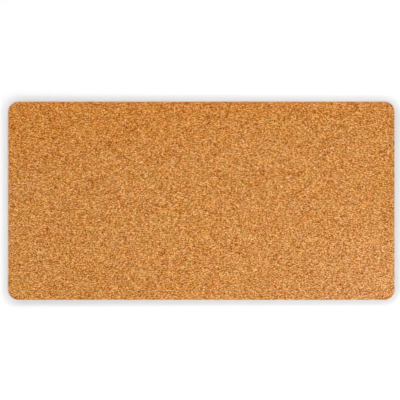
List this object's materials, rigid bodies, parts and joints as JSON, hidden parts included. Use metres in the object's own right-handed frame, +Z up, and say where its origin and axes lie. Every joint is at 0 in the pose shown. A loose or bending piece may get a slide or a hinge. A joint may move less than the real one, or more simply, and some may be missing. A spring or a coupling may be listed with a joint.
{
  "type": "mouse pad",
  "caption": "Flat desk-size mouse pad with rounded corners: a pressed cork face bonded over woven cloth and a non-slip foamed rubber base.",
  "frame": {"origin": "middle of the underside, on the plane of the desk", "axes": "+X along the pad's length towards its right-hand end, +Y towards the back of the desk, +Z up out of the cork face"},
  "size_m": [0.6, 0.3076, 0.003],
  "materials": {
    "cork": "matte",
    "adhesive": "satin",
    "cloth": "matte",
    "foam_rubber": "matte"
  },
  "bodies": {
    "root": {"rubber_base": "foam_rubber", "base_adhesive_film": "adhesive", "backing_cloth": "cloth", "cork_adhesive_film": "adhesive", "cork_sheet": "cork"}
  },
  "joints": []
}
